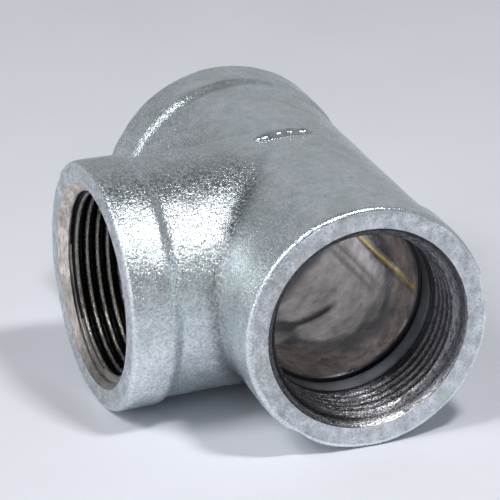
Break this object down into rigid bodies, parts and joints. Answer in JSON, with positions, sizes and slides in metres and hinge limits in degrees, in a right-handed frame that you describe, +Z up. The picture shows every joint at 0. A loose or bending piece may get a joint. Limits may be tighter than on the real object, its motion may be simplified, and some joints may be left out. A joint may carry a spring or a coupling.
{
  "type": "pipe tee fitting",
  "caption": "Equal pipe tee with a banded, internally threaded port on each arm: a straight run and a branch at right angles, hollow throughout.",
  "frame": {"origin": "middle of the part's length and width, on the surface that it lies on", "axes": "+X along the run towards the front port, -Y along the branch towards its mouth, +Z up, square to both axes"},
  "size_m": [0.09, 0.0718, 0.0535],
  "materials": {
    "galvanised_iron": "hot-dip galvanised casting skin outside, bare tapped threads inside"
  },
  "bodies": {
    "root": {"tee_body": "galvanised_iron"}
  },
  "joints": []
}
